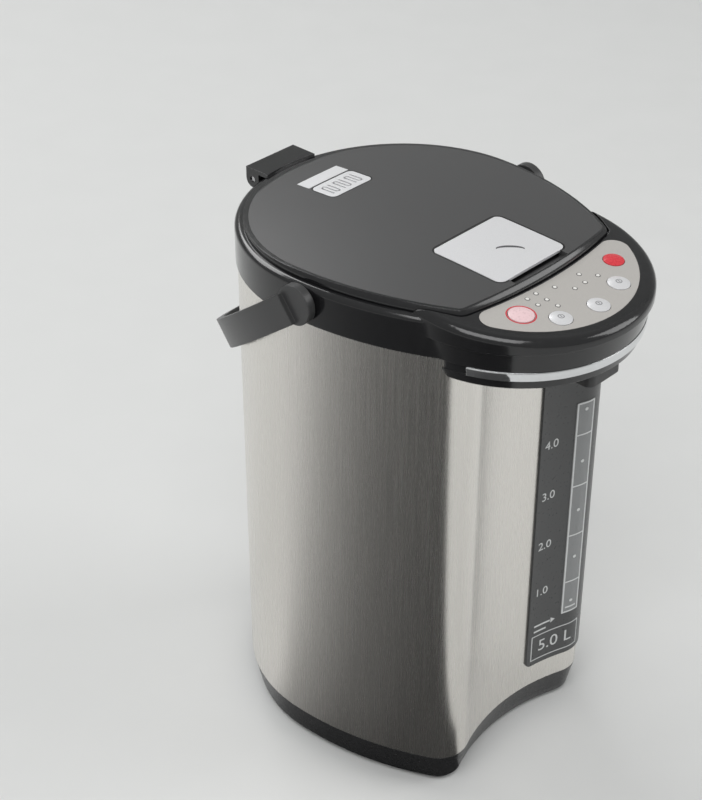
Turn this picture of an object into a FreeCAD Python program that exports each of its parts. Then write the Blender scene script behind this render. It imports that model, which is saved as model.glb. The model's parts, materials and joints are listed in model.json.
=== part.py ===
import FreeCAD, Part
import math
import os

# Electric thermo pot. Millimetres, +Z up, the front faces -Y, and the left and right sides are alike.
# The origin is the point on the table under the middle of the whole pot's box.

V = FreeCAD.Vector
UP = V(0, 0, 1)
ALONG_X = V(1, 0, 0)

# Plan of the body: a round back, long bowed flanks, tight front corners and a hollow front.
TANK_Y = 28.0
BODY_R = 101.0
FLANK_R = 212.0
CORNER_R = 20.0
FRONT_Y = -72.5
FRONT_R = 140.0

# Heights above the table.
FOOT_H = 3.0
BASE_BOTTOM = 2.5
FLOOR_TOP = 5.0
BASE_TOP = 25.0
STEEL_TOP = 338.4
COLLAR_BOTTOM = 335.0
DECK_BOTTOM = 356.5
DECK_TOP = 359.5
LID_BOTTOM = 359.9
LID_TOP = 367.0

# Wall thicknesses and running gaps.
STEEL_T = 0.8
WALL = 2.5
GAP = 0.3
PIN_FIT = 0.05

# Head over the cup: a round beak with a sloping top.
HEAD_Y = -62.0
HEAD_R = 82.0
BEAK_BACK_Y = -48.0
LEDGE_Z = 348.6
PANEL_HINGE_Y = -81.0
PANEL_EDGE_Z = 361.3
PANEL_TILT = 5.5
PANEL_R = 72.0
PANEL_T = 1.5
COVER_BOTTOM = 322.0
TRIM_BOTTOM = 329.0

# Lid plan: the same back and flanks, set in, with a front edge bowed forwards.
LID_INSET = 5.5
LID_FRONT_Y = -84.0
LID_FRONT_R = 332.0
LID_CORNER_R = 6.0
LID_CROWN_R = 1500.0
LID_CROWN_Y = -10.0
LID_FLOOR = 361.4
PLATE_FLOOR = 362.2
VENT_Y = 78.0
VENT_R = 7.6
VENT_HALF_X = 18.0
VENT_HALF_Y = 10.0
PLATE_GAP = 0.2
LABEL_FRONT_Y = 89.5
LABEL_BACK_Y = 100.0
HINGE_Y = 136.5
HINGE_Z = 355.0
HINGE_HALF = 21.3
HINGE_PIN_R = 2.0
BARREL_HALF = 10.0
BARREL_R = 4.6
CHEEK_R = 5.6

# Inner tank and its mouth.
TANK_R = 89.5
TANK_T = 0.8
TANK_BOTTOM = 66.0
TANK_SHOULDER = 330.0
MOUTH_R = 77.0
PLUG_R = 72.0

# Carrying handle, hanging behind the body at rest.
PIVOT_Y = 14.0
PIVOT_Z = 348.5
HANDLE_DROP = 37.0
HANDLE_R = 109.5
STRAP_T = 4.5
STRAP_H = 19.5
DRUM_R = 12.5
DRUM_IN = 103.2
DRUM_OUT = 108.6
PEG_R = 5.0
PEG_END = 106.8

# Release lever in the lid.
LEVER_HALF = 30.2
LEVER_BACK_Y = -21.9
LEVER_FRONT_Y = -75.1
LEVER_T = 3.2
LEVER_CORNER_R = 5.0
LEVER_GAP = 0.6
LEVER_PIN_Y = -25.5
LEVER_PIN_Z = 365.0
LEVER_PIN_R = 1.0
LATCH_FRONT_Y = -68.0
LATCH_Z = 354.2
LATCH_DEEP = 11.5

# Push buttons: name, place on the panel and radius.
BUTTONS = [
    ("dispense_button", 44.5, -99.5, 6.4),
    ("power_button", -41.5, -99.5, 7.6),
    ("left_key", -27.0, -116.5, 6.8),
    ("middle_key", 0.0, -122.5, 6.8),
    ("right_key", 27.0, -116.5, 6.8),
]
LIGHT_SPOTS = [
    (-18.5, -91.5), (-26.5, -91.7), (-18.5, -99.5), (-26.5, -99.5), (-18.5, -107.5),
    (-5.0, -94.5), (3.0, -103.0), (12.5, -103.0), (16.5, -95.5), (24.0, -103.5),
]
LIGHT_R = 1.1

# Level gauge on the front, to the right of the middle.
GAUGE_LEFT = 19.0
GAUGE_RIGHT = 71.0
GAUGE_BOTTOM = 43.0
GAUGE_TOP = 321.6
WINDOW_LEFT = 45.0
WINDOW_RIGHT = 59.0
WINDOW_BOTTOM = 79.0
WINDOW_TOP = 250.0
TUBE_X = 52.0
TUBE_Y = -73.0
TUBE_R = 5.0

# Pump under the tank and the power inlet at the back.
PUMP_X = 24.0
PUMP_Y = 8.0
PUMP_R = 20.0
INLET_Z = 44.0
INLET_HALF_X = 16.0
INLET_HALF_Z = 12.0
INLET_WALL = 3.5
HOSE_R = 3.6
HOSE_BORE = 2.6
SPOUT_Y = -121.0
NOZZLE_TOP = 328.4
BOARD = (-52.0, -14.0, -5.0, 45.0)


def blend(first, second, radius, high):
    """Circle of the given radius that touches two others; a hollow circle has a negative radius."""
    ax, ay, ar = first
    bx, by, br = second
    da = abs(ar - radius)
    db = abs(br - radius)
    gap = math.hypot(bx - ax, by - ay)
    along = (da * da - db * db + gap * gap) / (2 * gap)
    aside = math.sqrt(da * da - along * along)
    ux = (bx - ax) / gap
    uy = (by - ay) / gap
    spots = [(ax + ux * along - uy * s * aside, ay + uy * along + ux * s * aside) for s in (1, -1)]
    spots = [spot for spot in spots if spot[0] > 0]
    spots.sort(key=lambda spot: spot[1])
    x, y = spots[-1] if high else spots[0]
    return (x, y, radius)


def outline(arcs, offset, z):
    """Closed symmetric wire of tangent arcs, given for the right half from the back to the front."""
    arcs = [(x, y, r + offset) for x, y, r in arcs]
    ends = [V(0, arcs[0][1] + arcs[0][2], z)]
    for (ax, ay, ar), (bx, by, br) in zip(arcs, arcs[1:]):
        share = ar / (ar - br)
        ends.append(V(ax + (bx - ax) * share, ay + (by - ay) * share, z))
    ends.append(V(0, arcs[-1][1] - arcs[-1][2], z))
    right = []
    left = []
    for (x, y, r), start, end in zip(arcs, ends, ends[1:]):
        centre = V(x, y, z)
        outward = (start - centre) + (end - centre)
        outward.normalize()
        middle = centre + outward * abs(r)
        right.append(Part.Arc(start, middle, end).toShape())
        flipped = [V(-p.x, p.y, p.z) for p in (end, middle, start)]
        left.append(Part.Arc(*flipped).toShape())
    return Part.Wire(right + left[::-1])


def slab(arcs, offset, low, high):
    """Straight-sided block on an outline."""
    return Part.Face(outline(arcs, offset, low)).extrude(UP * (high - low))


def skin(arcs, steps):
    """Tapering block through (height, offset) steps of one outline."""
    return Part.makeLoft([outline(arcs, offset, z) for z, offset in steps], True, True)


def turned(points, x, y):
    """Solid of revolution about the upright axis at x, y through (radius, height) points."""
    corners = [V(x + r, y, z) for r, z in points]
    face = Part.Face(Part.makePolygon(corners + corners[:1]))
    return face.revolve(V(x, y, 0), UP, 360)


def box(x0, x1, y0, y1, z0, z1):
    return Part.makeBox(x1 - x0, y1 - y0, z1 - z0, V(x0, y0, z0))


def rod(radius, start, end):
    run = end - start
    return Part.makeCylinder(radius, run.Length, start, run)


def round_box(x0, x1, y0, y1, z0, z1, radius):
    """Box with its four upright edges rounded."""
    solid = box(x0, x1, y0, y1, z0, z1)
    upright = [e for e in solid.Edges if abs(e.tangentAt(e.FirstParameter).z) > 0.99]
    return solid.makeFillet(radius, upright)


def front_plate(x0, x1, z0, z1, inner, outer, radius):
    """Plate that lies on the hollow front between two offsets of the body, with rounded corners."""
    block = box(x0, x1, -140.0, -40.0, z0, z1)
    corners = [e for e in block.Edges if abs(e.tangentAt(e.FirstParameter).y) > 0.99]
    block = block.makeFillet(radius, corners)
    band = slab(BODY, outer, z0 - 1, z1 + 1).cut(slab(BODY, inner, z0 - 2, z1 + 2))
    return band.common(block)


def bent_tube(points, bend, outer, inner):
    """Tube along straight runs joined by tangent arcs."""

    def section(spot, heading):
        wires = [Part.Wire(Part.Circle(spot, heading, radius).toShape()) for radius in (outer, inner)]
        return Part.makeFace(wires, "Part::FaceMakerBullseye")

    pieces = []
    start = points[0]
    for before, corner, after in zip(points, points[1:], points[2:]):
        back = before - corner
        ahead = after - corner
        back.normalize()
        ahead.normalize()
        half = back.getAngle(ahead) / 2
        enter = corner + back * (bend / math.tan(half))
        inside = back + ahead
        inside.normalize()
        centre = corner + inside * (bend / math.sin(half))
        pieces.append(section(start, enter - start).extrude(enter - start))
        turn = 180 - 2 * math.degrees(half)
        pieces.append(section(enter, corner - enter).revolve(centre, ahead.cross(back), turn))
        start = corner + ahead * (bend / math.tan(half))
    pieces.append(section(start, points[-1] - start).extrude(points[-1] - start))
    return pieces[0].fuse(pieces[1:]).removeSplitter()


def tilt(shape):
    """Lay a shape drawn about height zero onto the sloping top of the beak."""
    shape = shape.copy()
    shape.rotate(V(0, PANEL_HINGE_Y, 0), ALONG_X, PANEL_TILT)
    shape.translate(UP * PANEL_EDGE_Z)
    return shape


FLANK = (BODY_R - FLANK_R, TANK_Y, FLANK_R)
BACK = (0.0, TANK_Y, BODY_R)
FRONT = (0.0, FRONT_Y - FRONT_R, -FRONT_R)
BODY = [BACK, FLANK, blend(FLANK, FRONT, CORNER_R, False), FRONT]

LID_FLANK = (FLANK[0], TANK_Y, FLANK_R - LID_INSET)
LID_FRONT = (0.0, LID_FRONT_Y + LID_FRONT_R, LID_FRONT_R)
LID_BACK = (0.0, TANK_Y, BODY_R - LID_INSET)
LID = [LID_BACK, LID_FLANK, blend(LID_FLANK, LID_FRONT, LID_CORNER_R, False), LID_FRONT]

PANEL_BACK = (0.0, LID_FRONT_Y - 3.6 + LID_FRONT_R, -LID_FRONT_R)
PANEL_FRONT = (0.0, HEAD_Y, PANEL_R)
PANEL = [PANEL_BACK, blend(PANEL_BACK, PANEL_FRONT, 9.0, True), PANEL_FRONT]

nodes = {}


def base():
    ring = skin(BODY, [(BASE_BOTTOM, -6.2), (4.5, -4.6), (10.0, -3.4), (BASE_TOP, 0.0)])
    ring = ring.cut(skin(BODY, [(BASE_BOTTOM - 1, -8.8), (5.0, -8.8)]))
    ring = ring.cut(slab(BODY, -13.0, 4.0, 8.0))
    ring = ring.cut(skin(BODY, [(7.0, -6.6), (BASE_TOP + 1, -2.8)]))
    spigot = slab(BODY, -STEEL_T - 0.1, BASE_TOP - 2, 31.0).cut(slab(BODY, -2.8, BASE_TOP - 3, 32.0))
    nodes["base_ring"] = ring.fuse(spigot).removeSplitter()

    plate = slab(BODY, -8.9, FOOT_H, FLOOR_TOP)
    for x in (-36.0, -24.0, -12.0, 0.0, 12.0, 24.0, 36.0):
        plate = plate.cut(round_box(x - 1.5, x + 1.5, 50.0, 78.0, 0.0, 8.0, 1.4))
    for x in (BOARD[0] + 4, BOARD[1] - 4):
        for y in (BOARD[2] + 4, BOARD[3] - 4):
            plate = plate.fuse(rod(2.5, V(x, y, FOOT_H), V(x, y, FLOOR_TOP + 4)))
    nodes["base_plate"] = plate.removeSplitter()
    spots = [(x, y) for x in (-60.0, 60.0) for y in (-50.0, 70.0)]
    foot = [(0, 0), (7.4, 0), (8, 0.6), (8, FOOT_H), (0, FOOT_H)]
    nodes["rubber_feet"] = Part.makeCompound([turned(foot, x, y) for x, y in spots])


def inlet_block(y0, y1, wall):
    """Block that fills the opening of the power inlet, or its socket inside a wall."""
    half_x = INLET_HALF_X - wall
    half_z = INLET_HALF_Z - wall
    return box(-half_x, half_x, y0, y1, INLET_Z - half_z, INLET_Z + half_z)


def shell():
    can = slab(BODY, 0.0, BASE_TOP, STEEL_TOP).cut(slab(BODY, -STEEL_T, BASE_TOP - 1, STEEL_TOP + 1))
    slot = box(WINDOW_LEFT + 2, WINDOW_RIGHT - 2, -120.0, -60.0, WINDOW_BOTTOM + 3, WINDOW_TOP - 3)
    can = can.cut(slot)
    can = can.cut(inlet_block(TANK_Y + BODY_R - 20, TANK_Y + BODY_R + 10, 0.0))
    nodes["outer_shell"] = can
    panel = front_plate(GAUGE_LEFT, GAUGE_RIGHT, GAUGE_BOTTOM, GAUGE_TOP, 0.0, 1.4, 4.0)
    panel = panel.cut(box(WINDOW_LEFT, WINDOW_RIGHT, -120.0, -60.0, WINDOW_BOTTOM, WINDOW_TOP))
    nodes["gauge_panel"] = panel
    nodes["gauge_window"] = front_plate(WINDOW_LEFT, WINDOW_RIGHT, WINDOW_BOTTOM, WINDOW_TOP, 0.0, 1.8, 1.0)


def beak_solid(shrink, low):
    """Round beak below its sloping top; shrink sets the walls in."""
    r = HEAD_R - shrink
    profile = [(0, low), (r - 3.7, low), (r - 1.4, LEDGE_Z - 1), (r, LEDGE_Z), (r, 372.0), (0, 372.0)]
    beak = turned(profile, 0, HEAD_Y)
    beak = beak.cut(box(-100.0, 100.0, BEAK_BACK_Y, 60.0, 300.0, 380.0))
    above = tilt(box(-120.0, 120.0, -200.0, 40.0, -shrink, 40.0))
    return beak.cut(above)


def hinge_rod(radius, x0, x1):
    """Cylinder on the axis of the lid hinge."""
    return rod(radius, V(x0, HINGE_Y, HINGE_Z), V(x1, HINGE_Y, HINGE_Z))


def collar():
    ring = slab(BODY, 1.2, COLLAR_BOTTOM, DECK_TOP)
    top = [e for e in ring.Edges if e.BoundBox.ZMin > DECK_TOP - 0.01]
    ring = ring.makeFillet(3.4, top)
    beak = beak_solid(0.0, COLLAR_BOTTOM)
    rim = [e for e in beak.Edges if e.BoundBox.ZMin > 354.0 and e.BoundBox.YMin < -120.0]
    beak = beak.makeFillet(5.0, rim)
    head = ring.fuse(beak)
    head = head.cut(slab(LID, 2.6, DECK_TOP, 380.0))
    hollow = slab(BODY, -1.6, COLLAR_BOTTOM - 1, DECK_BOTTOM)
    hollow = hollow.fuse(beak_solid(WALL, COLLAR_BOTTOM - 1))
    head = head.cut(hollow)
    head = head.cut(slab(BODY, 0.05, COLLAR_BOTTOM - 1, STEEL_TOP))
    head = head.cut(rod(MOUTH_R + 2, V(0, TANK_Y, DECK_BOTTOM - 2), V(0, TANK_Y, DECK_TOP + 2)))
    head = head.cut(box(-12.0, 12.0, LATCH_FRONT_Y - 1, TANK_Y - MOUTH_R, DECK_BOTTOM - 2, DECK_TOP + 2))
    seat = Part.Face(outline(PANEL, 0.1, 0.0)).extrude(UP * 6)
    seat.translate(UP * -PANEL_T)
    head = head.cut(tilt(seat))
    for name, x, y, r in BUTTONS:
        head = head.cut(tilt(rod(r + GAP, V(x, y, -9), V(x, y, 5))))
    for x in (-12.0, 12.0):
        head = head.fuse(tilt(rod(2.5, V(x, -108.0, -9.0), V(x, -108.0, -PANEL_T - 1))))
    lug = box(-BARREL_HALF, BARREL_HALF, TANK_Y + BODY_R + 0.5, HINGE_Y + BARREL_R, HINGE_Z - 9, HINGE_Z)
    lug = lug.fuse(hinge_rod(BARREL_R, -BARREL_HALF, BARREL_HALF))
    lug = lug.cut(hinge_rod(HINGE_PIN_R, -HINGE_HALF, HINGE_HALF))
    nodes["collar"] = head.fuse(lug).removeSplitter()
    nodes["lid_hinge_pin"] = hinge_rod(HINGE_PIN_R, 0.8 - HINGE_HALF, HINGE_HALF - 0.8)


def beak_underside():
    steps = [(74.2, COVER_BOTTOM), (75.6, COVER_BOTTOM + 1.2), (77.0, TRIM_BOTTOM), (76.4, TRIM_BOTTOM)]
    cover = turned([(0, COVER_BOTTOM)] + steps + [(76.4, COLLAR_BOTTOM), (0, COLLAR_BOTTOM)], 0, HEAD_Y)
    inner = turned([(0, COVER_BOTTOM + 2.4), (73.6, COVER_BOTTOM + 2.4), (74.0, COLLAR_BOTTOM + 1),
                    (0, COLLAR_BOTTOM + 1)], 0, HEAD_Y)
    cover = cover.cut(inner)
    cover = cover.cut(slab(BODY, 0.2, COVER_BOTTOM - 1, COLLAR_BOTTOM + 2))
    cover = cover.cut(box(-100.0, 100.0, -60.0, 60.0, 300.0, 340.0))
    cover = cover.cut(rod(6.05, V(0, SPOUT_Y, 310.0), V(0, SPOUT_Y, 340.0)))
    nodes["beak_bottom_cover"] = cover
    band = turned([(76.4, TRIM_BOTTOM), (78.4, TRIM_BOTTOM + 0.4), (78.9, COLLAR_BOTTOM - 0.8),
                   (78.6, COLLAR_BOTTOM), (76.4, COLLAR_BOTTOM)], 0, HEAD_Y)
    band = band.cut(box(-100.0, 100.0, HEAD_Y - 26.0, 60.0, 300.0, 340.0))
    nodes["chrome_trim"] = band

    block = round_box(-15.0, 15.0, SPOUT_Y - 11, SPOUT_Y + 15, 311.5, COVER_BOTTOM, 5.0)
    block = block.cut(rod(6.05, V(0, SPOUT_Y, 305.0), V(0, SPOUT_Y, 330.0)))
    nodes["spout_block"] = block
    shoulder = COVER_BOTTOM + 2.4
    nozzle = [(4.3, 309.0), (5.4, 309.0), (6.0, 310.5), (6.0, shoulder), (8.5, shoulder), (8.5, NOZZLE_TOP),
              (4.3, NOZZLE_TOP)]
    nodes["spout_nozzle"] = turned(nozzle, 0, SPOUT_Y)


def control_panel():
    plate = Part.Face(outline(PANEL, 0.0, 0.0)).extrude(UP * PANEL_T)
    plate.translate(UP * -PANEL_T)
    for name, x, y, r in BUTTONS:
        plate = plate.cut(rod(r + GAP, V(x, y, -5), V(x, y, 5)))
        crown = 1.1
        ball = (r * r + crown * crown) / (2 * crown)
        cap = rod(r, V(x, y, -5.0), V(x, y, 1.5))
        cap = cap.common(Part.makeSphere(ball, V(x, y, 0.3 + crown - ball), ALONG_X))
        nodes[name] = tilt(cap)
    lights = []
    for x, y in LIGHT_SPOTS:
        plate = plate.cut(rod(LIGHT_R, V(x, y, -5), V(x, y, 5)))
        lights.append(tilt(rod(LIGHT_R, V(x, y, -PANEL_T), V(x, y, 0.25))))
    nodes["control_panel"] = tilt(plate)
    nodes["status_lights"] = Part.makeCompound(lights)
    board = Part.Face(outline(PANEL, -6.0, 0.0)).extrude(UP * 1.6)
    board.translate(UP * -10.6)
    nodes["control_board"] = tilt(board)
    keys = [tilt(box(x - 3, x + 3, y - 3, y + 3, -9.0, -6.4)) for name, x, y, r in BUTTONS]
    nodes["key_switches"] = Part.makeCompound(keys)


def lid_crown():
    """Very large ball whose top is the gently crowned top of the lid."""
    return Part.makeSphere(LID_CROWN_R, V(0, LID_CROWN_Y, LID_TOP - LID_CROWN_R), ALONG_X)


def steam_slot(x):
    """Upright S-shaped slot through the vent plate, centred on x: three legs joined by two half turns."""
    low, high = PLATE_FLOOR - 1, LID_TOP + 1
    turn = 3.0 / 2
    half = 0.6
    slot = box(x - 2 * turn - half, x - 2 * turn + half, VENT_Y - 6, VENT_Y + 4, low, high)
    slot = slot.fuse(box(x - half, x + half, VENT_Y - 4, VENT_Y + 4, low, high))
    slot = slot.fuse(box(x + 2 * turn - half, x + 2 * turn + half, VENT_Y - 4, VENT_Y + 6, low, high))
    for side in (-1, 1):
        centre = V(x + side * turn, VENT_Y - side * 4, low)
        bend = rod(turn + half, centre, centre + UP * (high - low))
        bend = bend.cut(rod(turn - half, centre, centre + UP * (high - low)))
        beyond = box(x - 9, x + 9, VENT_Y - 9, VENT_Y - 4, low, high)
        if side < 0:
            beyond.translate(V(0, 13, 0))
        slot = slot.fuse(bend.common(beyond))
    return slot


def lid():
    crown = lid_crown()
    rim = skin(LID, [(LID_BOTTOM, 1.4), (LID_BOTTOM + 1.6, 1.4), (LID_BOTTOM + 3.2, 0.6), (LID_TOP, -2.0)])
    rim = rim.common(crown)
    rim = rim.cut(slab(LID, -2.0, LID_FLOOR, 380.0))
    pocket = round_box(-LEVER_HALF - LEVER_GAP, LEVER_HALF + LEVER_GAP, LEVER_FRONT_Y - LEVER_GAP,
                       LEVER_BACK_Y + LEVER_GAP, LID_FLOOR, 380.0, LEVER_CORNER_R + LEVER_GAP)
    over = V(0, LEVER_FRONT_Y + 4.0, LID_TOP + 24.6)
    scoop = rod(30.0, over - ALONG_X * 24, over + ALONG_X * 24)
    vent = round_box(-VENT_HALF_X - PLATE_GAP, VENT_HALF_X + PLATE_GAP, VENT_Y - VENT_HALF_Y - PLATE_GAP,
                     VENT_Y + VENT_HALF_Y + PLATE_GAP, PLATE_FLOOR, 380.0, 4.0)
    strip = box(-VENT_HALF_X, VENT_HALF_X, LABEL_FRONT_Y - PLATE_GAP, LABEL_BACK_Y + PLATE_GAP,
                PLATE_FLOOR, 380.0)
    top = slab(LID, -2.0, LID_FLOOR, 372.0).common(crown)
    top = top.cut(pocket).cut(scoop).cut(vent).cut(strip)
    steam_hole = rod(VENT_R, V(0, VENT_Y, LID_BOTTOM - 1), V(0, VENT_Y, LID_TOP))
    top = top.cut(steam_hole)
    top = top.cut(lever_pin(LEVER_PIN_R, LEVER_HALF + 3))
    nodes["lid_top_panel"] = top
    rim = rim.cut(steam_hole)

    arm = box(-HINGE_HALF, HINGE_HALF, TANK_Y + BODY_R - 12, HINGE_Y + CHEEK_R, LID_BOTTOM, LID_BOTTOM + 2.6)
    for x0, x1 in ((-HINGE_HALF, -BARREL_HALF - GAP), (BARREL_HALF + GAP, HINGE_HALF)):
        arm = arm.fuse(hinge_rod(CHEEK_R, x0, x1))
        arm = arm.fuse(box(x0, x1, HINGE_Y - CHEEK_R, HINGE_Y + CHEEK_R, HINGE_Z, LID_BOTTOM + 1))
    arm = arm.cut(hinge_rod(HINGE_PIN_R + PIN_FIT, -30, 30))
    arm = arm.cut(slab(LID, 1.4, LID_BOTTOM - 1, LID_TOP))
    nodes["lid_rim"] = rim.fuse(arm).removeSplitter()

    vent_plate = round_box(-VENT_HALF_X, VENT_HALF_X, VENT_Y - VENT_HALF_Y, VENT_Y + VENT_HALF_Y, PLATE_FLOOR,
                           LID_TOP, 3.8)
    for x in (-10.0, 0.0, 10.0):
        vent_plate = vent_plate.cut(steam_slot(x))
    nodes["steam_vent_plate"] = vent_plate.common(crown)
    label = box(PLATE_GAP - VENT_HALF_X, VENT_HALF_X - PLATE_GAP, LABEL_FRONT_Y, LABEL_BACK_Y,
                PLATE_FLOOR, LID_TOP)
    nodes["lid_label_plate"] = label.common(crown)

    plug = rod(PLUG_R, V(0, TANK_Y, 345.0), V(0, TANK_Y, LID_BOTTOM))
    plug = plug.cut(rod(PLUG_R - 1.2, V(0, TANK_Y, 346.2), V(0, TANK_Y, LID_BOTTOM + 1)))
    plug = plug.cut(rod(VENT_R - 1.6, V(0, VENT_Y, 340.0), V(0, VENT_Y, 350.0)))
    nodes["lid_inner_cover"] = plug
    gasket = turned([(PLUG_R, 348.0), (MOUTH_R - 1.8, 349.2), (MOUTH_R - 1.1, 351.0), (MOUTH_R - 1.8, 352.8),
                     (PLUG_R, 354.0)], 0, TANK_Y)
    nodes["lid_gasket"] = gasket
    tube = rod(VENT_R, V(0, VENT_Y, 346.2), V(0, VENT_Y, PLATE_FLOOR))
    nodes["steam_tube"] = tube.cut(rod(VENT_R - 1.6, V(0, VENT_Y, 345.0), V(0, VENT_Y, 380.0)))


def lever_pin(radius, half):
    return rod(radius, V(-half, LEVER_PIN_Y, LEVER_PIN_Z), V(half, LEVER_PIN_Y, LEVER_PIN_Z))


def lever():
    plate = round_box(-LEVER_HALF, LEVER_HALF, LEVER_FRONT_Y, LEVER_BACK_Y, LID_TOP - LEVER_T, LID_TOP,
                      LEVER_CORNER_R)
    behind = box(-40.0, 40.0, LEVER_PIN_Y, LEVER_PIN_Y + 10, 350.0, 380.0)
    plate = plate.cut(behind.cut(lever_pin(LEVER_BACK_Y - LEVER_PIN_Y, 50.0)))
    plate = plate.fuse(lever_pin(2 * LEVER_PIN_R, 20.0)).cut(lever_pin(LEVER_PIN_R + PIN_FIT, 40.0))
    nodes["release_lever"] = plate.common(lid_crown()).removeSplitter()
    nodes["lever_pin"] = lever_pin(LEVER_PIN_R, LEVER_HALF + 3)
    housing = box(-10.0, 10.0, LATCH_FRONT_Y, LATCH_FRONT_Y + LATCH_DEEP, LATCH_Z - 3.0, LID_BOTTOM)
    bolt_top = LATCH_Z + 3.0
    channel = box(-6.0 - GAP, 6.0 + GAP, LATCH_FRONT_Y - 1, LATCH_FRONT_Y + 20, LATCH_Z - GAP, bolt_top + GAP)
    nodes["latch_housing"] = housing.cut(channel)
    bolt_front = LATCH_FRONT_Y + 2.0
    bolt = box(-6.0, 6.0, bolt_front, LATCH_FRONT_Y + 7.5, LATCH_Z, bolt_top)
    nose = [V(-6, bolt_front, bolt_top), V(-6, bolt_front, LATCH_Z), V(-6, LATCH_FRONT_Y + 0.2, bolt_top)]
    nose = Part.Face(Part.makePolygon(nose + nose[:1])).extrude(ALONG_X * 12)
    nodes["latch_bolt"] = bolt.fuse(nose).removeSplitter()


def tank():
    mouth = MOUTH_R - TANK_T
    wall = TANK_R - TANK_T
    flange = MOUTH_R + 7
    outer = [(0, TANK_BOTTOM), (TANK_R - 6, TANK_BOTTOM), (TANK_R, TANK_BOTTOM + 6), (TANK_R, TANK_SHOULDER),
             (MOUTH_R, TANK_SHOULDER + 10), (MOUTH_R, 354.0), (flange, 354.0), (flange, DECK_BOTTOM),
             (mouth, DECK_BOTTOM), (mouth, TANK_SHOULDER + 9.6), (wall, TANK_SHOULDER - 0.4),
             (wall, TANK_BOTTOM + 6.4), (TANK_R - 6.4, TANK_BOTTOM + TANK_T), (0, TANK_BOTTOM + TANK_T)]
    nodes["inner_tank"] = turned(outer, 0, TANK_Y)
    band = [(TANK_R, 72.0), (TANK_R + 2.2, 72.0), (TANK_R + 2.2, 104.0), (TANK_R, 104.0)]
    nodes["keep_warm_heater"] = turned(band, 0, TANK_Y)
    nodes["boil_heater"] = turned([(44, 61.5), (64, 61.5), (64, TANK_BOTTOM), (44, TANK_BOTTOM)], 0, TANK_Y)
    cradle = turned([(70, 5.0), (72, 5.0), (72, TANK_BOTTOM), (70, TANK_BOTTOM)], 0, TANK_Y)
    for turn in (60.0, 120.0, 240.0, 300.0):
        window = box(40.0, 90.0, -22.0, 22.0, 14.0, 52.0)
        window.rotate(V(0, 0, 0), UP, turn)
        window.translate(V(0, TANK_Y, 0))
        cradle = cradle.cut(window)
    nodes["tank_cradle"] = cradle
    nodes["thermostat"] = turned([(0, 58.0), (8, 58.0), (8, TANK_BOTTOM), (0, TANK_BOTTOM)], -15.0, TANK_Y - 8)
    nodes["temperature_sensor"] = turned([(0, 54.0), (3.5, 54.0), (3.5, 62.0), (6, 62.0), (6, TANK_BOTTOM),
                                          (0, TANK_BOTTOM)], -10.0, TANK_Y + 16)


def pump():
    nodes["pump_motor"] = turned([(0, 5.0), (16.5, 5.0), (16.5, 30.0), (0, 30.0)], PUMP_X, PUMP_Y)
    nodes["pump_housing"] = turned([(0, 30.0), (PUMP_R, 30.0), (PUMP_R, 50.0), (6, 50.0), (6, 56.0),
                                    (HOSE_R, 56.0), (HOSE_R, 47.5), (PUMP_R - WALL, 47.5),
                                    (PUMP_R - WALL, 32.5), (0, 32.5)], PUMP_X, PUMP_Y)
    hub = turned([(0, 33.5), (5, 33.5), (5, 45.0), (0, 45.0)], PUMP_X, PUMP_Y)
    hub = hub.fuse(turned([(0, 33.5), (15.5, 33.5), (15.5, 35.0), (0, 35.0)], PUMP_X, PUMP_Y))
    for number in range(6):
        blade = box(4.0, 15.5, -0.8, 0.8, 34.5, 44.0)
        blade.rotate(V(0, 0, 0), UP, number * 60.0)
        blade.translate(V(PUMP_X, PUMP_Y, 0))
        hub = hub.fuse(blade)
    nodes["pump_impeller"] = hub.removeSplitter()


def water_way():
    tube = rod(TUBE_R, V(TUBE_X, TUBE_Y, 74.0), V(TUBE_X, TUBE_Y, 300.0))
    nodes["level_tube"] = tube.cut(rod(TUBE_R - 1, V(TUBE_X, TUBE_Y, 70.0), V(TUBE_X, TUBE_Y, 310.0)))
    nodes["suction_hose"] = turned([(HOSE_R, 56.0), (6.0, 56.0), (6.0, TANK_BOTTOM), (HOSE_R, TANK_BOTTOM)],
                                   PUMP_X, PUMP_Y)
    low = V(TUBE_X, TUBE_Y, 40.0)
    outlet = low - V(PUMP_X, PUMP_Y, 40.0)
    outlet.normalize()
    start = V(PUMP_X, PUMP_Y, 40.0) + outlet * PUMP_R
    nodes["delivery_hose"] = bent_tube([start, low, V(TUBE_X, TUBE_Y, 74.0)], 14.0, TUBE_R, TUBE_R - 1)
    over = NOZZLE_TOP + 14
    route = [V(TUBE_X, TUBE_Y, 300.0), V(TUBE_X, TUBE_Y, over), V(0, SPOUT_Y, over), V(0, SPOUT_Y, NOZZLE_TOP)]
    nodes["outlet_hose"] = bent_tube(route, 8.0, HOSE_R, HOSE_BORE)


def power():
    back = TANK_Y + BODY_R
    socket = inlet_block(back - 22, back + 0.6, 0.0)
    nodes["power_inlet"] = socket.cut(inlet_block(back - 17, back + 5, INLET_WALL))
    pins = []
    for x, z in ((-7.0, -1.5), (7.0, -1.5), (0.0, 3.0)):
        pins.append(box(x - 1, x + 1, back - 17, back - 5, INLET_Z + z - 2.5, INLET_Z + z + 2.5))
    nodes["inlet_pins"] = Part.makeCompound(pins)
    nodes["power_board"] = box(*BOARD, FLOOR_TOP + 4, FLOOR_TOP + 5.6)


def pivot_rod(radius, x0, x1):
    """Cylinder on the axis that the handle turns about."""
    return rod(radius, V(x0, PIVOT_Y, PIVOT_Z), V(x1, PIVOT_Y, PIVOT_Z))


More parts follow.
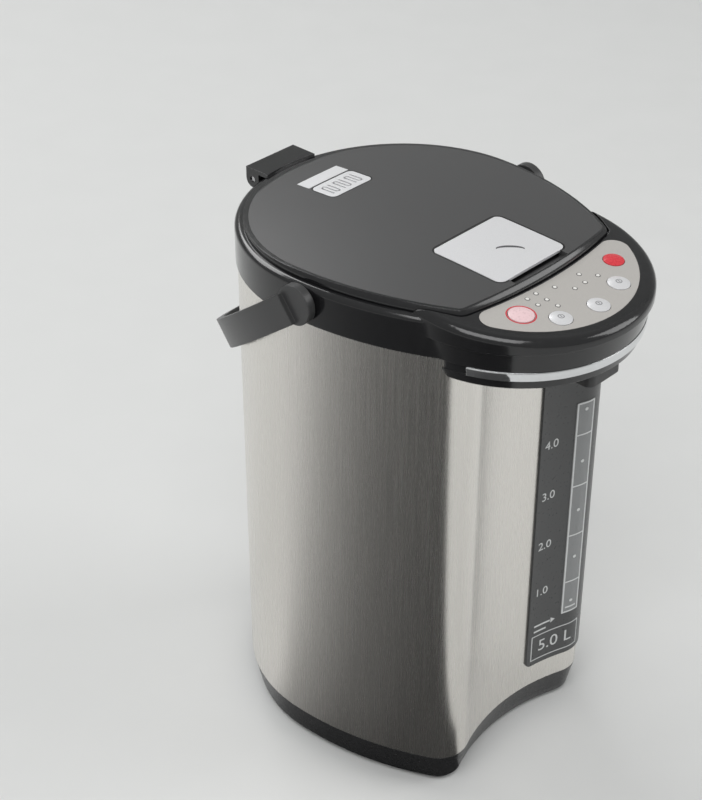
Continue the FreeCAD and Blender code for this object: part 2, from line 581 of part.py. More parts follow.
def handle():
    stretch = 1 / math.cos(math.radians(HANDLE_DROP))
    arm_end = PIVOT_Y + (TANK_Y - PIVOT_Y) * stretch

    def loop(radius):
        """Arms and bow in the flat, with the bow stretched so that it is round when it hangs."""
        bow = Part.Ellipse(V(0, arm_end + radius * stretch, 0), V(radius, arm_end, 0), V(0, arm_end, 0))
        half = Part.ArcOfEllipse(bow, -math.pi / 2, math.pi / 2).toShape()
        start = V(radius, PIVOT_Y + 5, 0)
        ends = [V(-radius, arm_end, 0), V(-radius, PIVOT_Y + 5, 0), start, V(radius, arm_end, 0)]
        runs = [Part.LineSegment(a, b).toShape() for a, b in zip(ends, ends[1:])]
        return Part.Face(Part.Wire(Part.__sortEdges__([half] + runs)))

    strap = loop(HANDLE_R + STRAP_T / 2).cut(loop(HANDLE_R - STRAP_T / 2)).extrude(UP * STRAP_H)
    strap = strap.cut(box(-HANDLE_R + STRAP_T, HANDLE_R - STRAP_T, PIVOT_Y, PIVOT_Y + 12, -1, STRAP_H + 1))
    strap.translate(UP * (PIVOT_Z - STRAP_H / 2))
    whole = strap.fuse([pivot_rod(DRUM_R, side * DRUM_IN, side * DRUM_OUT) for side in (-1, 1)])
    bores = [pivot_rod(PEG_R + PIN_FIT, side * BODY_R, side * (PEG_END + 0.2)) for side in (-1, 1)]
    whole = whole.cut(bores).removeSplitter()
    whole.rotate(V(0, PIVOT_Y, PIVOT_Z), ALONG_X, -HANDLE_DROP)
    nodes["carry_handle"] = whole
    stubs = [pivot_rod(PEG_R, side * (BODY_R - 2), side * PEG_END) for side in (-1, 1)]
    stubs = [stub.cut(slab(BODY, 1.2, 330.0, 370.0)) for stub in stubs]
    nodes["handle_pivots"] = Part.makeCompound(stubs)


for build in (base, shell, collar, beak_underside, control_panel, lid, lever, tank, pump, water_way, power,
              handle):
    build()

os.makedirs("parts", exist_ok=True)
for name, shape in nodes.items():
    shape.exportStep("parts/" + name + ".step")
    print(name, len(shape.Solids), shape.isValid(), round(shape.Volume, 1), shape.BoundBox)
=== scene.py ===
import json
import math

import bmesh
import bpy
from mathutils import Matrix, Vector
from mathutils.bvhtree import BVHTree


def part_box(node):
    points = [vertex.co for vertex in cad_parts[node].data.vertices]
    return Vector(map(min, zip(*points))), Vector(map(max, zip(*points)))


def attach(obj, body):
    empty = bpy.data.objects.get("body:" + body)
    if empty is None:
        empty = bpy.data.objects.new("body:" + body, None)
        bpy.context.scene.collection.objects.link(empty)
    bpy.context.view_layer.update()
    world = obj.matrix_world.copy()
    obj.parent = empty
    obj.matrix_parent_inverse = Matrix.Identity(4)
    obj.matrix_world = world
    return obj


# Electric thermo pot: materials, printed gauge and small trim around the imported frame. The frame is in
# metres with +Z up, and the small pieces are drawn in millimetres.

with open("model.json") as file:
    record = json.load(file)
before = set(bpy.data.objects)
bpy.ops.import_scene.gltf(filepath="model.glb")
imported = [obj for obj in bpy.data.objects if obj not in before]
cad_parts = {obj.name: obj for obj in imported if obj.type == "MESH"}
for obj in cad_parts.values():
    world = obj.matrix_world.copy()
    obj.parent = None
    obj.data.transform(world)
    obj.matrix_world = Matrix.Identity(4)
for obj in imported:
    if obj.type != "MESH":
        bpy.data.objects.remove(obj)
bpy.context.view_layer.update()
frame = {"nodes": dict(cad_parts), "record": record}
nodes = frame["nodes"]

MM = 0.001
ACROSS = Vector((1, 0, 0))
ALONG = Vector((0, 1, 0))
UP = Vector((0, 0, 1))
DOWN = Vector((0, 0, -1))

# Where flat shapes are projected from: start, direction, and the ways their x and y go.
FROM_FRONT = (Vector((0, -130, 0)), ALONG, ACROSS, UP)
FROM_ABOVE = (Vector((0, 0, 400)), DOWN, ACROSS, ALONG)

# Camera, fitted to the photograph: place, angles in degrees and focal length in its own pixels.
CAMERA_AT = Vector((-0.770, -0.653, 0.9025))
AZIMUTH = -46.632
ELEVATION = 34.709
ROLL = -0.121
FOCAL_PIXELS = 1888.0
FRAME_HEIGHT = 800.0
SENSOR = 36.0
SHIFT = (0.0052, 0.054)
CLIP_START = 0.05

# Printed and laid-on shapes: height above the surface, depth below it and longest facet.
PRINT_THICK = 0.06
PRINT_DEEP = 0.02
MARK_STEP = 2.0
JOIN = 1e-4

# Prints of the front panel, across (x) and up (z).
LITRE_LINES = (106.0, 145.0, 185.0, 225.0)
LINE_HALF = 0.5
LINE_INSET = 1.6
LEVEL_DOTS = (89.0, 126.5, 165.0, 204.0, 244.0)
DOT_R = 1.2
WINDOW_INSET = 0.4
WINDOW_LINE = 1.1
LOW_LINE_INSET = 3.0
LOW_LINE = (4.2, 5.4)
NUMBER_X = 28.0
NUMBER_SIZE = 9.0
VOLUME_BOX = (22.5, 61.0, 47.0, 68.5)
VOLUME_LINE = 0.75
VOLUME_TEXT = "5.0 L"
VOLUME_SIZE = 13.5
POINTER_BARS = ((24.0, 37.0, 76.4, 77.8), (24.0, 34.0, 71.6, 73.0))
POINTER_TIP = [(37.6, 74.9), (41.0, 77.1), (37.6, 79.3)]

# Crescent on the lever: half width, rise, quads, lower edge, place and turn in degrees.
CRESCENT_HALF = 8.6
CRESCENT_RISE = 3.6
CRESCENT_QUADS = 16
CRESCENT_UNDER = (0.93, 0.52, -0.4)
CRESCENT_AT = (4.0, -54.0, 0)
CRESCENT_TURN = -45

# Marks on the control panel, across (x) and front to back (y), with radii.
POWER_RING = (-41.5, -99.4, 8.1, 8.9)
LIGHT_RIM = (1.25, 1.65)
LIGHT_SPOTS = (
    (-18.5, -91.5), (-26.5, -91.7), (-18.5, -99.4), (-26.5, -99.4), (-18.5, -107.4),
    (-5.0, -94.4), (3.0, -102.9), (12.5, -102.9), (16.5, -95.4), (24.0, -103.4),
)
KEY_SPOTS = (("left_key", -27.0, -116.3), ("middle_key", 0.0, -122.3), ("right_key", 27.0, -116.3))
KEY_RING = (1.5, 2.0)
KEY_BAR = (0.3, 0.9)

# Pockets in the lid: half width, front, back and corner radius. The joint lines start a little outside.
POCKETS = (("lever_seam", (30.8, -75.7, -21.3, 5.6)), ("vent_seam", (18.2, 67.8, 88.2, 4.0)))
SEAM_START = 0.05
SEAM_END = 0.7

# Dark plates under the steam slots, painted shade that darkens them: places across, middle, half sizes, floor
# and thickness.
SHADE_PLATE_SPOTS = (-10.0, 0.0, 10.0)
SHADE_PLATE_Y = 78.0
SHADE_PLATE_HALF = (4.4, 7.4)
SHADE_PLATE_FLOOR = 362.22
SHADE_PLATE_THICK = 0.3

# Card on the floor in metres, and its tones by the angle in degrees from the left towards the back.
FLAG = ((-0.060, 0.06, 0.0015), (-0.95, 0.95, 0.0015), (-1.30, -0.95, 0.0015), (-0.045, -0.13, 0.0015))
FLAG_TONES = ((-25, 0.04), (2, 0.10), (14, 0.19), (25, 0.32), (31, 0.50), (37, 0.70))

# Floor and backdrop in metres: front edge, start and radius of the bend, top and half width.
FLOOR_FRONT = -6.0
FLOOR_DEPTH = 3.0
FLOOR_BEND = 1.0
FLOOR_STEPS = 12
WALL_TOP = 4.0
FLOOR_HALF = 6.0

# Lamps: name, place, target, size in metres and power in watts.
LAMPS = (
    ("key", (-1.2, -0.6, 2.2), (0, 0, 0.2), (1.6, 1.6), 26),
    ("front", (1.6, -1.8, 1.5), (0, 0, 0.2), (1.4, 1.8), 22),
    ("back", (0.2, 2.0, 2.0), (0, 0, 0.3), (2.4, 1.0), 30),
)
WORLD_COLOUR = (0.80, 0.81, 0.80, 1)
WORLD_STRENGTH = 0.45

# Shading: angle in degrees below which edges are smooth, scale of the noise, and a painted highlight that
# makes the edges lighter.
SMOOTH_ANGLE = 28
JOIN_METRES = 1e-6
NOISE_SCALE = 10.0
BEVEL_SAMPLES = 4
EDGE_HIGHLIGHT_FROM = 0.99
EDGE_HIGHLIGHT_TO = 0.80
EDGE_HIGHLIGHT_GAIN = 2.2
EDGE_HIGHLIGHT_LIFT = 0.02


# Geometry helpers

def add_mesh(name, bm, mat, body):
    """Make an object from a bmesh in millimetres, riding on a body."""
    mesh = bpy.data.meshes.new(name)
    bmesh.ops.scale(bm, vec=(MM, MM, MM), verts=bm.verts)
    bmesh.ops.recalc_face_normals(bm, faces=bm.faces)
    bm.to_mesh(mesh)
    bm.free()
    mesh.materials.append(mat)
    obj = bpy.data.objects.new(name, mesh)
    bpy.context.scene.collection.objects.link(obj)
    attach(obj, body)


def stage_object(name, bm, mat):
    """Make a studio object from a bmesh in metres."""
    mesh = bpy.data.meshes.new(name)
    bm.to_mesh(mesh)
    bm.free()
    mesh.materials.append(mat)
    obj = bpy.data.objects.new(name, mesh)
    bpy.context.scene.collection.objects.link(obj)
    return obj


def surface_of(node):
    """Ray-castable copy of a CAD node's surface."""
    mesh = nodes[node].data
    faces = [p.vertices for p in mesh.polygons]
    return BVHTree.FromPolygons([v.co for v in mesh.vertices], faces)


def slice_fine(bm, axis):
    """Cut a flat mesh into strips so that it can follow a curved surface."""
    direction = (ACROSS, ALONG)[axis]
    spots = [v.co[axis] for v in bm.verts]
    place = math.ceil(min(spots) / MARK_STEP) * MARK_STEP
    while place < max(spots):
        geom = list(bm.verts) + list(bm.edges) + list(bm.faces)
        bmesh.ops.bisect_plane(bm, geom=geom, dist=1e-5, plane_co=direction * place, plane_no=direction)
        place += MARK_STEP


def raise_faces(bm):
    """Extrude all faces of a flat mesh and return the new points."""
    raised = bmesh.ops.extrude_face_region(bm, geom=list(bm.faces))["geom"]
    return {v for v in raised if isinstance(v, bmesh.types.BMVert)}


def drape(bm, tree, view):
    """Lay a flat mesh on a surface along a view, a little sunk and a little proud."""
    start, towards, across, up = view
    bmesh.ops.triangulate(bm, faces=bm.faces)
    slice_fine(bm, 0)
    slice_fine(bm, 1)
    top = raise_faces(bm)
    for vert in bm.verts:
        origin = (start + across * vert.co.x + up * vert.co.y) * MM
        hit = tree.ray_cast(origin, towards)[0] / MM
        vert.co = hit - towards * (PRINT_THICK if vert in top else -PRINT_DEEP)


def flat_mesh(loops, joined=False):
    """Flat faces in closed outlines, each a list of x, y points."""
    bm = bmesh.new()
    for loop in loops:
        bm.faces.new([bm.verts.new((x, y, 0)) for x, y in loop])
    if joined:
        bmesh.ops.remove_doubles(bm, verts=bm.verts, dist=JOIN)
    return bm


def rectangle(x0, x1, y0, y1):
    return [(x0, y0), (x1, y0), (x1, y1), (x0, y1)]


def frame_lines(x0, x1, y0, y1, wide):
    """Four strips along the inside of a rectangle."""
    return [
        rectangle(x0, x1, y0, y0 + wide),
        rectangle(x0, x1, y1 - wide, y1),
        rectangle(x0, x0 + wide, y0 + wide, y1 - wide),
        rectangle(x1 - wide, x1, y0 + wide, y1 - wide),
    ]


def circle(x, y, radius, count=24):
    turns = [2 * math.pi * k / count for k in range(count)]
    return [(x + radius * math.cos(t), y + radius * math.sin(t)) for t in turns]


def between(small, large):
    """Quads between two closed paths with as many points each."""
    return [[small[k - 1], large[k - 1], large[k], small[k]] for k in range(len(small))]


def ring(x, y, inner, outer, count):
    """Quads between two circles."""
    return between(circle(x, y, inner, count), circle(x, y, outer, count))


def round_path(half, front, back, radius, grow, count=6):
    """Points round a rectangle with rounded corners, grown outwards."""
    points = []
    spots = ((half - radius, back - radius), (radius - half, back - radius),
             (radius - half, front + radius), (half - radius, front + radius))
    for quarter, (x, y) in enumerate(spots):
        for k in range(count + 1):
            turn = math.pi / 2 * (quarter + k / count)
            points.append((x + (radius + grow) * math.cos(turn), y + (radius + grow) * math.sin(turn)))
    return points


def text_mesh(text, size, centre_x, centre_y):
    """Flat lettering as a bmesh, centred on a point."""
    curve = bpy.data.curves.new("lettering", "FONT")
    curve.body = text
    curve.size = size
    curve.align_x = "CENTER"
    curve.align_y = "CENTER"
    curve.resolution_u = 3
    holder = bpy.data.objects.new("lettering", curve)
    bm = bmesh.new()
    mesh = bpy.data.meshes.new_from_object(holder)
    bm.from_mesh(mesh)
    bmesh.ops.translate(bm, vec=(centre_x, centre_y, 0), verts=bm.verts)
    bpy.data.objects.remove(holder)
    bpy.data.curves.remove(curve)
    bpy.data.meshes.remove(mesh)
    return bm


# Material helpers

def link(tree, out, into):
    tree.links.new(out, into)


def surface(name, tone, roughness, stretch=(60, 60, 60), mottle=0.08, rough_change=0.06, bump=0.02,
            depth=0.0001, detail=4.0, edge=0.0003, edge_highlight=0.0, **sockets):
    """Principled material with soft edges whose colour, roughness and relief follow a stretched noise."""
    mat = bpy.data.materials.new(name)
    mat.use_nodes = True
    tree = mat.node_tree
    shader = tree.nodes["Principled BSDF"]
    for key, value in sockets.items():
        shader.inputs[key.replace("_", " ")].default_value = value
    place = tree.nodes.new("ShaderNodeTexCoord")
    mapping = tree.nodes.new("ShaderNodeMapping")
    mapping.inputs["Scale"].default_value = stretch
    link(tree, place.outputs["Object"], mapping.inputs["Vector"])
    noise = tree.nodes.new("ShaderNodeTexNoise")
    noise.inputs["Scale"].default_value = NOISE_SCALE
    noise.inputs["Detail"].default_value = detail
    link(tree, mapping.outputs["Vector"], noise.inputs["Vector"])

    colours = tree.nodes.new("ShaderNodeValToRGB")
    colours.color_ramp.elements[0].position = 0.25
    colours.color_ramp.elements[1].position = 0.75
    colours.color_ramp.elements[0].color = [c * (1 - mottle) for c in tone] + [1]
    colours.color_ramp.elements[1].color = [min(1, c * (1 + mottle)) for c in tone] + [1]
    link(tree, noise.outputs["Fac"], colours.inputs["Fac"])
    colour = colours.outputs["Color"]

    rough = tree.nodes.new("ShaderNodeMapRange")
    rough.inputs["From Min"].default_value = 0.3
    rough.inputs["From Max"].default_value = 0.7
    rough.inputs["To Min"].default_value = max(0.02, roughness - rough_change)
    rough.inputs["To Max"].default_value = roughness + rough_change
    link(tree, noise.outputs["Fac"], rough.inputs["Value"])
    link(tree, rough.outputs["Result"], shader.inputs["Roughness"])

    rounded = tree.nodes.new("ShaderNodeBevel")
    rounded.samples = BEVEL_SAMPLES
    rounded.inputs["Radius"].default_value = edge
    # Optional painted highlight: the base colour is made lighter along the edges.
    if edge_highlight:
        colour = paint_edge_highlight(tree, rounded, colour, tone, edge_highlight)
    link(tree, colour, shader.inputs["Base Color"])
    relief = tree.nodes.new("ShaderNodeBump")
    relief.inputs["Strength"].default_value = bump
    relief.inputs["Distance"].default_value = depth
    link(tree, noise.outputs["Fac"], relief.inputs["Height"])
    link(tree, rounded.outputs["Normal"], relief.inputs["Normal"])
    link(tree, relief.outputs["Normal"], shader.inputs["Normal"])
    return mat


def paint_edge_highlight(tree, rounded, colour, tone, edge_highlight):
    """Painted highlight: lighten the colour where the softened normal leaves the true one, along the edges."""
    true_normal = tree.nodes.new("ShaderNodeNewGeometry")
    along = tree.nodes.new("ShaderNodeVectorMath")
    along.operation = "DOT_PRODUCT"
    link(tree, rounded.outputs["Normal"], along.inputs[0])
    link(tree, true_normal.outputs["Normal"], along.inputs[1])
    share = tree.nodes.new("ShaderNodeMapRange")
    share.inputs["From Min"].default_value = EDGE_HIGHLIGHT_FROM
    share.inputs["From Max"].default_value = EDGE_HIGHLIGHT_TO
    share.inputs["To Min"].default_value = 0.0
    share.inputs["To Max"].default_value = edge_highlight
    link(tree, along.outputs["Value"], share.inputs["Value"])
    mix = tree.nodes.new("ShaderNodeMix")
    mix.data_type = "RGBA"
    link(tree, share.outputs["Result"], mix.inputs["Factor"])
    link(tree, colour, mix.inputs["A"])
    mix.inputs["B"].default_value = [min(1, c * EDGE_HIGHLIGHT_GAIN + EDGE_HIGHLIGHT_LIFT) for c in tone] + [1]
    return mix.outputs["Result"]


def brushed(name, tone, roughness, anisotropy, turn, stretch):
    """Brushed metal: fine streaks along one direction and highlights stretched across them."""
    mat = surface(name, tone, roughness, stretch=stretch, mottle=0.04, rough_change=0.04, bump=0.06,
                  depth=0.00005, detail=6.0, Metallic=1.0, Anisotropic=anisotropy, Anisotropic_Rotation=turn)
    tree = mat.node_tree
    tangent = tree.nodes.new("ShaderNodeTangent")
    tangent.direction_type = "RADIAL"
    tangent.axis = "Z"
    link(tree, tangent.outputs["Tangent"], tree.nodes["Principled BSDF"].inputs["Tangent"])
    return mat


def clear(name, tone, roughness, density):
    """Clear moulded plastic or glass with faint waviness."""
    return surface(name, tone, roughness, stretch=(30, 30, 30), mottle=0.02, rough_change=0.02, bump=0.02,
                   Transmission_Weight=density, IOR=1.49)


def printed(name, tone, roughness, mottle):
    """Thin print or mark with a fine grain and sharp edges."""
    return surface(name, tone, roughness, stretch=(200, 200, 200), mottle=mottle, edge=0.00005)


def make_materials():
    """One material for each slot of the record."""
    return {
        "brushed_steel_shell": brushed(
            "mat_brushed_steel_shell", (0.80, 0.775, 0.735), 0.26, 0.55, 0.0, (160, 160, 1.5)),
        "gloss_black": surface(
            "mat_gloss_black", (0.011, 0.011, 0.012), 0.14, stretch=(25, 25, 25), mottle=0.10,
            rough_change=0.04, bump=0.03, edge=0.0008, Coat_Weight=0.35, Coat_Roughness=0.08),
        "satin_black": surface(
            "mat_satin_black", (0.040, 0.040, 0.041), 0.40, stretch=(140, 140, 140), mottle=0.12, bump=0.10,
            edge=0.0008, edge_highlight=0.25),
        "dark_grey_panel": surface("mat_dark_grey_panel", (0.062, 0.063, 0.064), 0.32, mottle=0.05, bump=0.03),
        "clear_window": clear("mat_clear_window", (0.42, 0.43, 0.435), 0.10, 0.45),
        "glass_tube": clear("mat_glass_tube", (0.85, 0.88, 0.88), 0.03, 0.9),
        "silver_plastic": surface(
            "mat_silver_plastic", (0.80, 0.80, 0.815), 0.34, stretch=(160, 160, 160), mottle=0.04, bump=0.05,
            Metallic=0.35),
        "panel_silver": surface(
            "mat_panel_silver", (0.53, 0.51, 0.485), 0.38, stretch=(160, 160, 160), mottle=0.05, bump=0.05,
            Metallic=0.25),
        "red_button": surface("mat_red_button", (0.66, 0.045, 0.060), 0.28, mottle=0.06),
        "pink_button": surface("mat_pink_button", (0.80, 0.58, 0.60), 0.30, mottle=0.04),
        "lamp_lens": surface(
            "mat_lamp_lens", (0.80, 0.79, 0.76), 0.22, mottle=0.03, edge=0.0002, Coat_Weight=0.5),
        "chrome": surface(
            "mat_chrome", (0.78, 0.79, 0.80), 0.07, stretch=(30, 30, 30), mottle=0.03, rough_change=0.03,
            bump=0.02, Metallic=1.0),
        "steel": brushed("mat_steel", (0.56, 0.56, 0.565), 0.26, 0.4, 0.25, (6, 6, 70)),
        "rubber": surface(
            "mat_rubber", (0.022, 0.022, 0.022), 0.75, stretch=(200, 200, 200), mottle=0.2, bump=0.3),
        "silicone": surface(
            "mat_silicone", (0.70, 0.70, 0.68), 0.45, stretch=(80, 80, 80), mottle=0.05,
            Subsurface_Weight=0.2, Subsurface_Scale=0.002),
        "white_plastic": surface(
            "mat_white_plastic", (0.62, 0.62, 0.60), 0.42, stretch=(120, 120, 120), mottle=0.05, bump=0.06),
        "mica_heater": surface(
            "mat_mica_heater", (0.42, 0.37, 0.28), 0.42, stretch=(20, 20, 90), mottle=0.18, bump=0.15,
            Metallic=0.6),
        "circuit_board": surface(
            "mat_circuit_board", (0.025, 0.13, 0.05), 0.35, stretch=(90, 90, 90), mottle=0.25, bump=0.1,
            Coat_Weight=0.3),
        "brass": surface(
            "mat_brass", (0.62, 0.46, 0.19), 0.24, stretch=(50, 50, 50), mottle=0.08, Metallic=1.0),
    }


def special_materials():
    """Finishes that differ from their slot's, by node."""
    return {
        "lid_top_panel": surface(
            "mat_lid_top", (0.062, 0.062, 0.063), 0.36, stretch=(220, 220, 220), mottle=0.06,
            rough_change=0.04, bump=0.05, edge=0.0006),
        "carry_handle": surface(
            "mat_handle", (0.045, 0.045, 0.046), 0.36, stretch=(120, 120, 120), mottle=0.10,
            rough_change=0.05, bump=0.06, edge=0.0012, edge_highlight=0.35),
        "base_ring": surface(
            "mat_base", (0.022, 0.022, 0.023), 0.30, mottle=0.12, bump=0.05, edge=0.0010, edge_highlight=0.20),
    }


def flag_material():
    """Tone that goes from dark at the front to the floor's own at the back, by the angle about the pot."""
    mat = surface("mat_flag", (0.10, 0.10, 0.10), 0.9, stretch=(5, 5, 5), mottle=0.1, bump=0.0)
    tree = mat.node_tree
    place = tree.nodes.new("ShaderNodeTexCoord")
    mirror = tree.nodes.new("ShaderNodeMapping")
    mirror.inputs["Scale"].default_value = (-1, 1, 1)
    angle = tree.nodes.new("ShaderNodeTexGradient")
    angle.gradient_type = "RADIAL"
    tones = tree.nodes.new("ShaderNodeValToRGB")
    steps = tones.color_ramp.elements
    for k, (degrees, tone) in enumerate(FLAG_TONES):
        step = steps[k] if k < 2 else steps.new(0.99)
        step.position = 0.5 + degrees / 360
        step.color = (tone, tone, tone, 1)
    link(tree, place.outputs["Object"], mirror.inputs["Vector"])
    link(tree, mirror.outputs["Vector"], angle.inputs["Vector"])
    link(tree, angle.outputs["Fac"], tones.inputs["Fac"])
    link(tree, tones.outputs["Color"], tree.nodes["Principled BSDF"].inputs["Base Color"])
    return mat


# Shading of the CAD nodes

def smooth_group():
    """Modifier group that joins split points and shades smoothly across the flatter edges."""
    tree = bpy.data.node_groups.new("smooth_by_angle", "GeometryNodeTree")
    tree.interface.new_socket("Geometry", in_out="INPUT", socket_type="NodeSocketGeometry")
    tree.interface.new_socket("Geometry", in_out="OUTPUT", socket_type="NodeSocketGeometry")
    start = tree.nodes.new("NodeGroupInput")
    end = tree.nodes.new("NodeGroupOutput")
    merge = tree.nodes.new("GeometryNodeMergeByDistance")
    merge.inputs["Distance"].default_value = JOIN_METRES
    edge_angle = tree.nodes.new("GeometryNodeInputMeshEdgeAngle")
    flat = tree.nodes.new("FunctionNodeCompare")
    flat.operation = "LESS_THAN"
    flat.inputs[1].default_value = math.radians(SMOOTH_ANGLE)
    edges = tree.nodes.new("GeometryNodeSetShadeSmooth")
    edges.domain = "EDGE"
    faces = tree.nodes.new("GeometryNodeSetShadeSmooth")
    faces.domain = "FACE"
    link(tree, start.outputs[0], merge.inputs["Geometry"])
    link(tree, merge.outputs["Geometry"], faces.inputs["Geometry"])
    link(tree, faces.outputs["Geometry"], edges.inputs["Geometry"])
    link(tree, edge_angle.outputs["Unsigned Angle"], flat.inputs[0])
    link(tree, flat.outputs["Result"], edges.inputs["Shade Smooth"])
    link(tree, edges.outputs["Geometry"], end.inputs[0])
    return tree


def dress_nodes(mats, special):
    """Give every CAD node its material and smooth shading."""
    slots = {part["node"]: part["material_slot"] for part in frame["record"]["subparts"]}
    group = smooth_group()
    for name, obj in nodes.items():
        obj.data.materials.clear()
        obj.data.materials.append(special.get(name) or mats[slots[name]])
        shade = obj.modifiers.new("shade", "NODES")
        shade.node_group = group


# Prints and trim

def lay(name, bm, tree, view, mat, body):
    """Drape a flat mesh on a surface and add it as a piece."""
    drape(bm, tree, view)
    add_mesh(name, bm, mat, body)


def gauge_prints():
    """Litre lines, dots, numbers and the tank size, printed on the front panel and window."""
    ink = printed("mat_gauge_print", (0.62, 0.63, 0.63), 0.45, 0.08)
    panel = surface_of("gauge_panel")
    window = surface_of("gauge_window")
    low, high = (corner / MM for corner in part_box("gauge_window"))

    def lay_front(name, bm, tree):
        lay(name, bm, tree, FROM_FRONT, ink, "pot")

    loops = frame_lines(low.x + WINDOW_INSET, high.x - WINDOW_INSET, low.z + WINDOW_INSET,
                        high.z - WINDOW_INSET, WINDOW_LINE)
    for z in LITRE_LINES:
        loops.append(rectangle(low.x + LINE_INSET, high.x - LINE_INSET, z - LINE_HALF, z + LINE_HALF))
    middle = (low.x + high.x) / 2
    for z in LEVEL_DOTS:
        loops.append(circle(middle, z, DOT_R))
    loops.append(rectangle(low.x + LOW_LINE_INSET, high.x - LOW_LINE_INSET, low.z + LOW_LINE[0],
                           low.z + LOW_LINE[1]))
    lay_front("gauge_window_lines", flat_mesh(loops), window)

    for number, z in enumerate(LITRE_LINES, start=1):
        lay_front(f"gauge_number_{number}", text_mesh(f"{number}.0", NUMBER_SIZE, NUMBER_X, z), panel)
    lay_front("gauge_volume_frame", flat_mesh(frame_lines(*VOLUME_BOX, VOLUME_LINE)), panel)
    x0, x1, z0, z1 = VOLUME_BOX
    lay_front("gauge_volume", text_mesh(VOLUME_TEXT, VOLUME_SIZE, (x0 + x1) / 2, (z0 + z1) / 2), panel)
    pointer = [rectangle(*bar) for bar in POINTER_BARS] + [POINTER_TIP]
    lay_front("gauge_pointer", flat_mesh(pointer), panel)


def lever_mark():
    """Thin dark crescent near the front of the release lever."""
    dark = printed("mat_lever_mark", (0.085, 0.085, 0.09), 0.35, 0.1)
    turns = [math.pi * k / CRESCENT_QUADS for k in range(CRESCENT_QUADS + 1)]
    top = [(CRESCENT_HALF * math.cos(t), CRESCENT_RISE * math.sin(t)) for t in turns]
    narrow, flatter, drop = CRESCENT_UNDER
    path = top + [(x * narrow, y * flatter + drop) for x, y in reversed(top)]
    quads = [[path[k], path[k + 1], path[-2 - k], path[-1 - k]] for k in range(CRESCENT_QUADS)]
    bm = flat_mesh(quads, joined=True)
    turn = Matrix.Rotation(math.radians(CRESCENT_TURN), 3, "Z")
    bmesh.ops.rotate(bm, cent=(0, 0, 0), matrix=turn, verts=bm.verts)
    bmesh.ops.translate(bm, vec=CRESCENT_AT, verts=bm.verts)
    lay("lever_mark", bm, surface_of("release_lever"), FROM_ABOVE, dark, "lever")


def lid_seams_and_slot_shade():
    """Dark joint lines round the lever and the vent plate, and dark plates under the steam slots as painted
    shade.
    """
    # One dark material serves the joint lines and the painted shade under the steam slots.
    dark = printed("mat_seam_and_painted_shade", (0.008, 0.008, 0.008), 0.55, 0.2)
    tree = surface_of("lid_top_panel")
    for name, pocket in POCKETS:
        quads = between(round_path(*pocket, SEAM_START), round_path(*pocket, SEAM_END))
        lay(name, flat_mesh(quads, joined=True), tree, FROM_ABOVE, dark, "lid")
    # Painted shade: thin dark plates under the steam slots make them darker.
    half_x, half_y = SHADE_PLATE_HALF
    bm = flat_mesh([rectangle(x - half_x, x + half_x, SHADE_PLATE_Y - half_y, SHADE_PLATE_Y + half_y) for x in SHADE_PLATE_SPOTS])
    bmesh.ops.translate(bm, vec=(0, 0, SHADE_PLATE_THICK), verts=list(raise_faces(bm)))
    bmesh.ops.translate(bm, vec=(0, 0, SHADE_PLATE_FLOOR), verts=bm.verts)
    add_mesh("steam_slot_shade_plate", bm, dark, "lid")


def panel_marks():
    """Red ring round the power button, rims round the lights and plain marks on the three keys."""
    red = printed("mat_power_ring", (0.60, 0.03, 0.05), 0.35, 0.06)
    grey = printed("mat_light_rim", (0.10, 0.10, 0.10), 0.35, 0.1)
    mark = printed("mat_key_mark", (0.22, 0.22, 0.23), 0.40, 0.1)

    def lay_above(name, loops, node, mat, body):
        lay(name, flat_mesh(loops, joined=True), surface_of(node), FROM_ABOVE, mat, body)

    lay_above("power_ring", ring(*POWER_RING, 32), "control_panel", red, "pot")
    rims = [quad for x, y in LIGHT_SPOTS for quad in ring(x, y, *LIGHT_RIM, 16)]
    lay_above("light_rims", rims, "control_panel", grey, "pot")
    half_x, half_y = KEY_BAR
    for name, x, y in KEY_SPOTS:
        loops = ring(x, y, *KEY_RING, 20) + [rectangle(x - half_x, x + half_x, y - half_y, y + half_y)]
        lay_above(name + "_mark", loops, name, mark, name + "_body")


# Studio

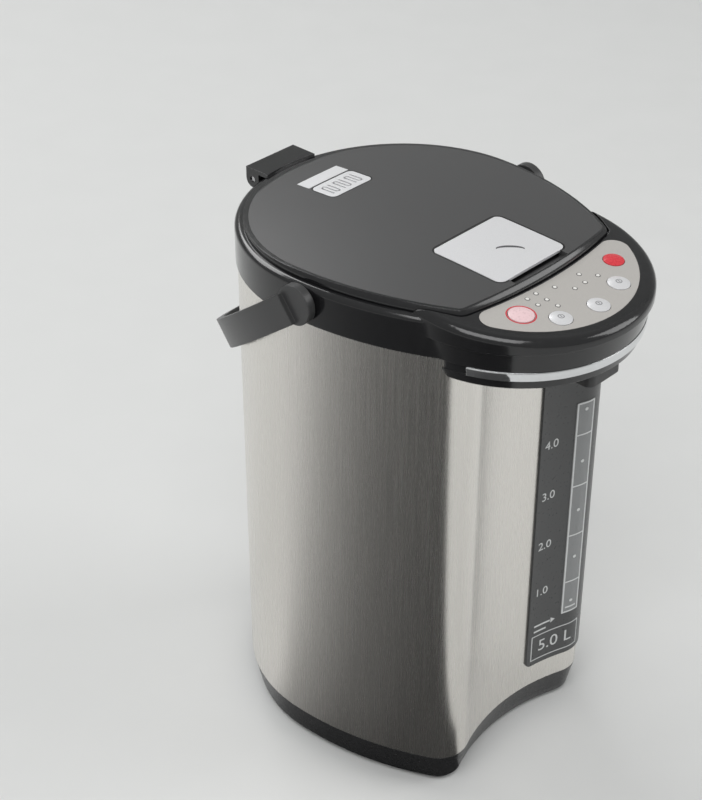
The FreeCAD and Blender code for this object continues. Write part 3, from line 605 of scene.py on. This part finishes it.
def stage_set():
    """Pale floor that curves up into a backdrop."""
    tone = surface("mat_floor", (0.70, 0.705, 0.70), 0.75, stretch=(2, 2, 2), mottle=0.01, bump=0.0)
    line = [(FLOOR_FRONT, 0.0)]
    for k in range(FLOOR_STEPS + 1):
        turn = math.pi / 2 * k / FLOOR_STEPS
        line.append((FLOOR_DEPTH + FLOOR_BEND * math.sin(turn), FLOOR_BEND - FLOOR_BEND * math.cos(turn)))
    line.append((FLOOR_DEPTH + FLOOR_BEND, WALL_TOP))
    bm = bmesh.new()
    rows = [[bm.verts.new((x, y, z)) for y, z in line] for x in (-FLOOR_HALF, FLOOR_HALF)]
    for a, b, c, d in zip(rows[0], rows[0][1:], rows[1][1:], rows[1]):
        bm.faces.new((a, b, c, d))
    floor = stage_object("floor", bm, tone)
    floor.data.polygons.foreach_set("use_smooth", [True] * len(floor.data.polygons))
    floor.rotation_euler.z = math.radians(AZIMUTH)


def flag():
    """Card on the floor to the left, dark towards the front, that only the bright surfaces see."""
    bm = bmesh.new()
    bm.faces.new([bm.verts.new(spot) for spot in FLAG])
    card = stage_object("flag", bm, flag_material())
    card.visible_camera = False
    card.visible_diffuse = False
    card.visible_shadow = False
    card.visible_transmission = False


def lamp(name, at, towards, size, power):
    data = bpy.data.lights.new(name, "AREA")
    data.shape = "RECTANGLE"
    data.size, data.size_y = size
    data.energy = power
    obj = bpy.data.objects.new(name, data)
    obj.location = at
    obj.rotation_mode = "QUATERNION"
    obj.rotation_quaternion = (Vector(towards) - Vector(at)).to_track_quat("-Z", "Y")
    bpy.context.scene.collection.objects.link(obj)


def lights():
    """Soft lamps and an even pale world."""
    for settings in LAMPS:
        lamp(*settings)
    world = bpy.data.worlds.new("studio")
    world.use_nodes = True
    background = world.node_tree.nodes["Background"]
    background.inputs["Color"].default_value = WORLD_COLOUR
    background.inputs["Strength"].default_value = WORLD_STRENGTH
    bpy.context.scene.world = world


def camera():
    """Camera where the photograph was taken from."""
    data = bpy.data.cameras.new("camera")
    data.sensor_width = SENSOR
    data.lens = FOCAL_PIXELS * SENSOR / FRAME_HEIGHT
    data.shift_x, data.shift_y = SHIFT
    data.clip_start = CLIP_START
    a, e, r = (math.radians(v) for v in (AZIMUTH, ELEVATION, ROLL))
    back = Vector((math.sin(a) * math.cos(e), -math.cos(a) * math.cos(e), math.sin(e)))
    right = Vector((math.cos(a), math.sin(a), 0))
    up = back.cross(right)
    tilted = right * math.cos(r) + up * math.sin(r)
    turn = Matrix((tilted, back.cross(tilted), back)).transposed()
    obj = bpy.data.objects.new("camera", data)
    obj.matrix_world = Matrix.Translation(CAMERA_AT) @ turn.to_4x4()
    bpy.context.scene.collection.objects.link(obj)
    bpy.context.scene.camera = obj


dress_nodes(make_materials(), special_materials())
gauge_prints()
lever_mark()
lid_seams_and_slot_shade()
panel_marks()
stage_set()
flag()
lights()
camera()
bpy.context.scene.view_settings.view_transform = "Standard"
